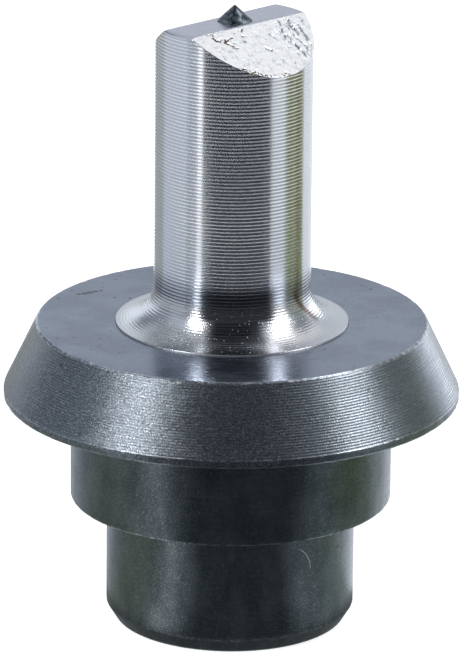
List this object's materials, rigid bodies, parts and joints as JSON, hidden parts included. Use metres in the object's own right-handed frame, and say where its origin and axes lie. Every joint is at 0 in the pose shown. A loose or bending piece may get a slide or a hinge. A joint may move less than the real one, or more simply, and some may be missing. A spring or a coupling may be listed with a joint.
{
  "type": "round punch",
  "caption": "Round hole punch for press tooling: roof-sheared nose with a centring point, filleted shank, tapered clamping flange, locating spigot and chamfered tail.",
  "frame": {"origin": "centre of the tail's flat end face", "axes": "+Z along the punch's axis from the tail to the nose, X along the flat land across the nose, Y across the two bevels"},
  "size_m": [0.032, 0.032, 0.0446],
  "materials": {
    "hardened_point": "dark hardened steel, satin",
    "bright_steel": "bright, finely turned, polished at the fillet",
    "blackened_steel": "blackened, satin, turned"
  },
  "bodies": {
    "root": {"centring_point": "hardened_point", "punch_shank": "bright_steel", "flanged_base": "blackened_steel"}
  },
  "joints": []
}
